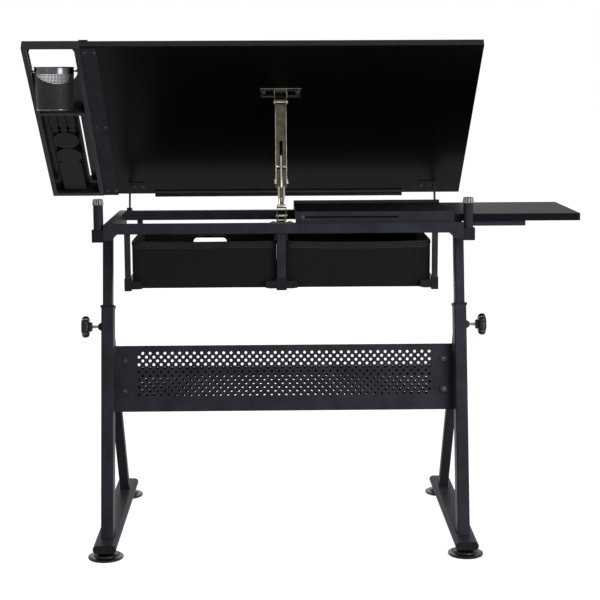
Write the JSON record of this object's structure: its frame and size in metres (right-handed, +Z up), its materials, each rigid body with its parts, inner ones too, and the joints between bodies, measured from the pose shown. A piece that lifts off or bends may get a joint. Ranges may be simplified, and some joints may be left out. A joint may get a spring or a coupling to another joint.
{
  "type": "drafting table",
  "caption": "Drafting table with a tilting board, a side tool tray with a hanging mesh cup, a pull-out side board, fabric drawers and a perforated trough.",
  "frame": {"origin": "centre of the footprint box, on the floor", "axes": "+X to the user's right along the table's length, +Y to the back, +Z up"},
  "size_m": [1.346, 0.6295, 1.2382],
  "materials": {
    "black_tube": "satin black powder coat",
    "perforated_sheet": "satin black powder coat",
    "black_plastic": "moulded, fine grain",
    "clear_pad": "clear soft plastic",
    "bright_steel": "plated",
    "zinc_steel": "zinc plated",
    "black_board": "black laminate on particle board",
    "tray_plastic": "moulded",
    "organiser_plastic": "vacuum formed",
    "mesh_steel": "open wire mesh, grey",
    "polished_band": "polished",
    "drawer_fabric": "woven polyester over board",
    "grip_metal": "satin"
  },
  "bodies": {
    "base": {"base_bar_l": "black_tube", "base_bar_r": "black_tube", "bar_end_caps": "black_plastic", "outer_post_l": "black_tube", "outer_post_r": "black_tube", "brace_l": "black_tube", "brace_r": "black_tube", "post_bushings": "black_plastic", "knob_bosses": "black_tube", "shelf_ears": "black_tube", "shelf_trough": "perforated_sheet", "shelf_bolts": "bright_steel"},
    "foot_fl": {"foot_front_l": "black_plastic"},
    "foot_fr": {"foot_front_r": "black_plastic"},
    "foot_bl": {"foot_rear_l": "black_plastic"},
    "foot_br": {"foot_rear_r": "black_plastic"},
    "knob_left": {"knob_l": "black_plastic", "knob_screw_l": "bright_steel"},
    "knob_right": {"knob_r": "black_plastic", "knob_screw_r": "bright_steel"},
    "frame": {"inner_post_l": "black_tube", "inner_post_r": "black_tube", "rear_rail": "black_tube", "front_rail": "black_tube", "side_rail_l": "black_tube", "side_rail_r": "black_tube", "rest_blocks": "black_plastic", "rest_posts": "black_tube", "rest_caps": "clear_pad", "guide_bars": "black_tube", "hanger_tubes": "black_tube", "hanger_corners": "black_plastic", "drawer_runners": "black_tube", "hinge_lugs": "black_tube", "hinge_pins": "bright_steel", "stay_foot": "zinc_steel", "stay_foot_pin": "bright_steel"},
    "top": {"main_board": "black_board", "tray_frame": "tray_plastic", "organiser": "organiser_plastic", "joining_strip": "black_tube", "seam_cover": "black_plastic", "underside_screws": "bright_steel", "pencil_ledge": "black_plastic", "hinge_arms": "black_tube", "stay_bracket": "zinc_steel", "stay_bracket_pin": "bright_steel", "cup_pivots": "bright_steel"},
    "stay_upper": {"stay_channel": "zinc_steel", "stay_rollers": "bright_steel"},
    "stay_lower": {"stay_bar": "zinc_steel"},
    "cup": {"cup_basket": "mesh_steel", "cup_band": "polished_band"},
    "extension": {"side_board": "black_board", "side_board_strips": "black_tube", "side_board_studs": "bright_steel"},
    "drawer_left": {"drawer_l": "drawer_fabric", "drawer_grips_l": "grip_metal"},
    "drawer_right": {"drawer_r": "drawer_fabric", "drawer_grips_r": "grip_metal"}
  },
  "joints": [
    {"name": "height_slide", "type": "slide", "parent": "base", "child": "frame", "axis": [0, -0.2164, 0.9763], "range_m": [-0.12, 0.14]},
    {"name": "tilt", "type": "hinge", "parent": "frame", "child": "top", "pos_m": [0.053, -0.242, 0.792], "axis": [1, 0, 0], "range_deg": [-40, 0]},
    {"name": "stay_bar_turn", "type": "hinge", "parent": "frame", "child": "stay_lower", "pos_m": [0.058, 0.1435, 0.816], "axis": [1, 0, 0], "range_deg": [0, 60]},
    {"name": "stay_channel_turn", "type": "hinge", "parent": "top", "child": "stay_upper", "pos_m": [0.058, 0.04239, 1.08781], "axis": [1, 0, 0], "range_deg": [-71.2, 0]},
    {"name": "cup_swing", "type": "hinge", "parent": "top", "child": "cup", "pos_m": [0.6065, 0.08822, 1.16543], "axis": [1, 0, 0], "range_deg": [0, 40]},
    {"name": "drawer_left_slide", "type": "slide", "parent": "frame", "child": "drawer_left", "axis": [0, -1, 0], "range_m": [0, 0.25]},
    {"name": "drawer_right_slide", "type": "slide", "parent": "frame", "child": "drawer_right", "axis": [0, -1, 0], "range_m": [0, 0.25]},
    {"name": "side_board_slide", "type": "slide", "parent": "frame", "child": "extension", "axis": [-1, 0, 0], "range_m": [0, 0.23]},
    {"name": "knob_left_turn", "type": "hinge", "parent": "base", "child": "knob_left", "pos_m": [-0.383, 0.1038, 0.53889], "axis": [1, 0, 0], "continuous": true},
    {"name": "knob_right_turn", "type": "hinge", "parent": "base", "child": "knob_right", "pos_m": [0.489, 0.1038, 0.53889], "axis": [1, 0, 0], "continuous": true},
    {"name": "foot_fl_turn", "type": "hinge", "parent": "base", "child": "foot_fl", "pos_m": [-0.383, -0.27, 0], "axis": [0, 0, 1], "continuous": true},
    {"name": "foot_fr_turn", "type": "hinge", "parent": "base", "child": "foot_fr", "pos_m": [0.489, -0.27, 0], "axis": [0, 0, 1], "continuous": true},
    {"name": "foot_bl_turn", "type": "hinge", "parent": "base", "child": "foot_bl", "pos_m": [-0.383, 0.27, 0], "axis": [0, 0, 1], "continuous": true},
    {"name": "foot_br_turn", "type": "hinge", "parent": "base", "child": "foot_br", "pos_m": [0.489, 0.27, 0], "axis": [0, 0, 1], "continuous": true}
  ],
  "couplings": [
    {"joint": "stay_channel_turn", "follows": "tilt", "ratio": 1.78},
    {"joint": "stay_bar_turn", "follows": "tilt", "ratio": -1.5},
    {"joint": "cup_swing", "follows": "tilt", "ratio": -1}
  ]
}
